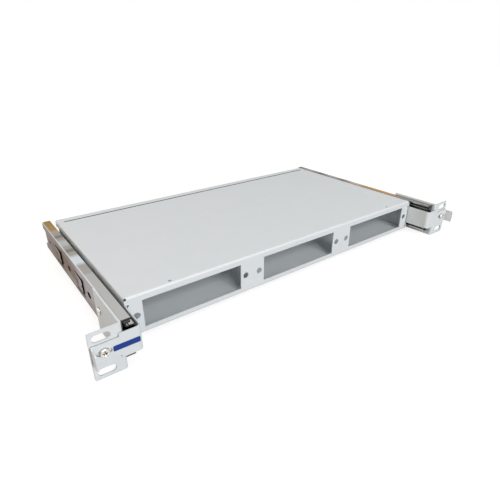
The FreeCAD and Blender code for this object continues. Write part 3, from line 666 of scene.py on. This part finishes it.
# Moulded bumpers with rounded edges in place of the square ones, and thin black caps over the outer rails' front
# ends, which also paint the shade there
bumper = {"blockHeight": mm(2.4), "edge": mm(0.7), "capThickness": mm(0.6), "capEdge": mm(0.2),
          "capMargin": mm(0.1), "capOverhang": mm(0.3), "capGap": mm(0.01), "flange": mm(9.1)}
for side, sign in sides:
    low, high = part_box(side + "_front_bumpers")
    bodies = [roundedBlock((low.x, low.y, bottom), (high.x, high.y, bottom + bumper["blockHeight"]),
                           bumper["edge"]) for bottom in (low.z, high.z - bumper["blockHeight"])]
    moulded = makePiece(side + "_front_bumpers_moulded", bodies, bumperMaterial, "rack_sides",
                        50)
    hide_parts(side + "_front_bumpers")
    low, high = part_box(side + "_outer_rail")
    webFace = sign * (max(abs(low.x), abs(high.x)) - rail["tongueBulge"])
    across = sorted((webFace, webFace - sign * bumper["flange"]))
    margin, overhang = bumper["capMargin"], bumper["capOverhang"]
    bodies = [roundedBlock((across[0] + margin, low.y - bumper["capThickness"], bottom - overhang),
                           (across[1] - margin, low.y - bumper["capGap"], bottom + rail["gauge"] + overhang),
                           bumper["capEdge"]) for bottom in (low.z, high.z - rail["gauge"])]
    makePiece(side + "_rail_end_shade_caps", bodies, bumperMaterial, "rack_sides", 50)
print("bumpers and rail end caps")

# The bare plate on the left pull strap
plate = {"width": mm(21.9), "height": mm(4.9), "thickness": mm(0.35), "corner": mm(1.0), "edge": mm(0.18),
         "centreX": mm(-213.35), "centreZ": mm(2.1), "cornerPoints": 9, "edgePoints": 6}


def plateBody(sizes):
    # A rounded rectangle: its outline shrinks by the edge e(1 - cos v) while its height rises by e sin v
    steps = sizes["cornerPoints"]
    corner = np.repeat([[1, 1], [-1, 1], [-1, -1], [1, -1]], steps, axis=0)
    turn = np.concatenate([np.linspace(k, k + 1, steps) for k in range(4)]) * math.pi / 2
    core = np.array([sizes["width"] / 2 - sizes["corner"], sizes["height"] / 2 - sizes["corner"]])
    edge, shoulder = sizes["edge"], sizes["thickness"] - sizes["edge"]
    sweep = np.linspace(0, math.pi / 2, sizes["edgePoints"])
    rings = [(0.0, 0.0)] + [(edge * (1 - math.cos(v)), shoulder + edge * math.sin(v)) for v in sweep]
    count = len(turn)
    points = []
    for inset, height in rings:
        radius = sizes["corner"] - inset
        flat = corner * core + radius * np.stack([np.cos(turn), np.sin(turn)], -1)
        points.append(np.hstack([flat, np.full((count, 1), height)]))
    faces = gridFaces(len(rings), count)
    last = (len(rings) - 1) * count
    faces += [list(range(count - 1, -1, -1)), list(range(last, last + count))]
    return np.vstack(points), faces


points, faces = plateBody(plate)
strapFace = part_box("left_lock_screw")[0].y + lockScrew["headHeight"]
points = np.stack([points[:, 0] + plate["centreX"], strapFace - points[:, 2], points[:, 1] + plate["centreZ"]],
                  -1)
makePiece("bare_blue_plate", [(points, faces)], plateMaterial, "drawer", 50)
print("plate")

# Studio: a white floor and backdrop, a broad soft light overhead, a strong one in front, a warmer one at the
# left and a weak one behind. That last one would glare in the rails, so it isn't mirrored in them
studio = {"floorReach": 6.0, "floorGap": mm(0.6), "floorColour": "#989898", "floorRoughness": 0.9,
          "floorSpecular": 0.1, "cameraLift": 0.78, "glossLift": 0.65, "liftSpan": (0.38, 0.75),
          "worldLevel": 0.205, "leftColour": "#FFE6CF", "leftLevel": 0.13, "leftSpan": (0.2, -0.6)}
lampTarget = (0, 0.1, 0)
lamps = {"overheadLamp": {"place": (0.35, 0.1, 1.5), "size": 1.6, "power": 5.2, "colour": "#F4FAFF",
                          "mirrored": True},
         "leftLamp": {"place": (-1.3, 0.0, 1.0), "size": 0.9, "power": 10.8, "colour": "#FFF5EB",
                      "mirrored": True},
         "frontLamp": {"place": (-0.1, -1.5, 0.8), "size": 1.1, "power": 26.0, "colour": "#FFFFFF",
                       "mirrored": True},
         "rearLamp": {"place": (0.1, 1.75, 0.45), "size": 1.0, "power": 2.6, "colour": "#FFFFFF",
                      "mirrored": False}}


def seenDirectly(tree, camera=1.0, gloss=1.0):
    # One amount on camera rays and another on glossy and transmission rays
    path = addNode(tree, "ShaderNodeLightPath").outputs
    mirrored = joined(tree, "MAXIMUM", path["Is Glossy Ray"], path["Is Transmission Ray"])
    return joined(tree, "MAXIMUM", joined(tree, "MULTIPLY", mirrored, gloss),
                  joined(tree, "MULTIPLY", path["Is Camera Ray"], camera))


def makeFloor():
    # One flat white sheet below the object, which seen directly or in a reflection is lifted to plain white
    # where nothing shades it, and keeps the soft shadow under the object
    reach = studio["floorReach"]
    level = cadBox[0].z - studio["floorGap"]
    mesh = bpy.data.meshes.new("floor")
    corners = [(-reach, -reach, level), (reach, -reach, level), (reach, reach, level), (-reach, reach, level)]
    mesh.from_pydata(corners, [], [(0, 1, 2, 3)])
    material, tree, shader = newMaterial("whitePaperFloor")
    away = addNode(tree, "ShaderNodeVectorMath", {0: objectPlace(tree)}, operation="LENGTH").outputs["Value"]
    cameraLift = spread(tree, away, studio["cameraLift"], 1.0, *studio["liftSpan"])
    feed(tree, shader, {"Base Color": linear(studio["floorColour"]), "Roughness": studio["floorRoughness"],
                        "Specular IOR Level": studio["floorSpecular"], "Emission Color": (1, 1, 1, 1),
                        "Emission Strength": seenDirectly(tree, cameraLift, studio["glossLift"])})
    mesh.materials.append(material)
    floor = bpy.data.objects.new("floor", mesh)
    bpy.context.scene.collection.objects.link(floor)


def makeLamp(name, sizes):
    lamp = bpy.data.lights.new(name, "AREA")
    lamp.shape = "SQUARE"
    lamp.size = sizes["size"]
    lamp.energy = sizes["power"]
    lamp.color = linear(sizes["colour"])[:3]
    holder = bpy.data.objects.new(name, lamp)
    holder.location = sizes["place"]
    direction = Vector(lampTarget) - Vector(sizes["place"])
    holder.rotation_euler = direction.to_track_quat("-Z", "Y").to_euler()
    holder.visible_glossy = sizes["mirrored"]
    bpy.context.scene.collection.objects.link(holder)


def makeWorld():
    # White to the camera and in reflections, and a plain level for everything else, dimmer and warmer from the
    # left
    world = bpy.data.worlds.new("studioWhite")
    world.use_nodes = True
    tree = world.node_tree
    tree.nodes.clear()
    direction = addNode(tree, "ShaderNodeTexCoord").outputs["Generated"]
    across = addNode(tree, "ShaderNodeSeparateXYZ", {"Vector": direction}).outputs["X"]
    left = spread(tree, across, 0, 1, *studio["leftSpan"])
    level = spread(tree, left, studio["worldLevel"], studio["leftLevel"], 0, 1)
    seen = seenDirectly(tree)
    colour = blendColours(tree, left, (1, 1, 1, 1), linear(studio["leftColour"]))
    colour = blendColours(tree, seen, colour, (1, 1, 1, 1))
    strength = spread(tree, seen, level, 1.0, 0, 1)
    background = addNode(tree, "ShaderNodeBackground", {"Color": colour, "Strength": strength})
    addNode(tree, "ShaderNodeOutputWorld", {"Surface": background.outputs[0]})
    bpy.context.scene.world = world


makeFloor()
makeWorld()
for name, lamp in lamps.items():
    makeLamp(name, lamp)
print("studio")

# Camera, matched to the photograph
camera = {"place": (mm(-289.53), mm(-262.86), mm(207.66)), "turn": (63.788, 0.079, -37.003), "lens": 29.511,
          "sensor": 36.0, "nearest": 0.01, "farthest": 100}
cameraData = bpy.data.cameras.new("photoCamera")
cameraData.lens = camera["lens"]
cameraData.sensor_width = camera["sensor"]
cameraData.clip_start = camera["nearest"]
cameraData.clip_end = camera["farthest"]
cameraHolder = bpy.data.objects.new("photoCamera", cameraData)
cameraHolder.location = camera["place"]
cameraHolder.rotation_euler = Euler([math.radians(angle) for angle in camera["turn"]])
bpy.context.scene.collection.objects.link(cameraHolder)
bpy.context.scene.camera = cameraHolder
bpy.context.scene.view_settings.view_transform = "Standard"
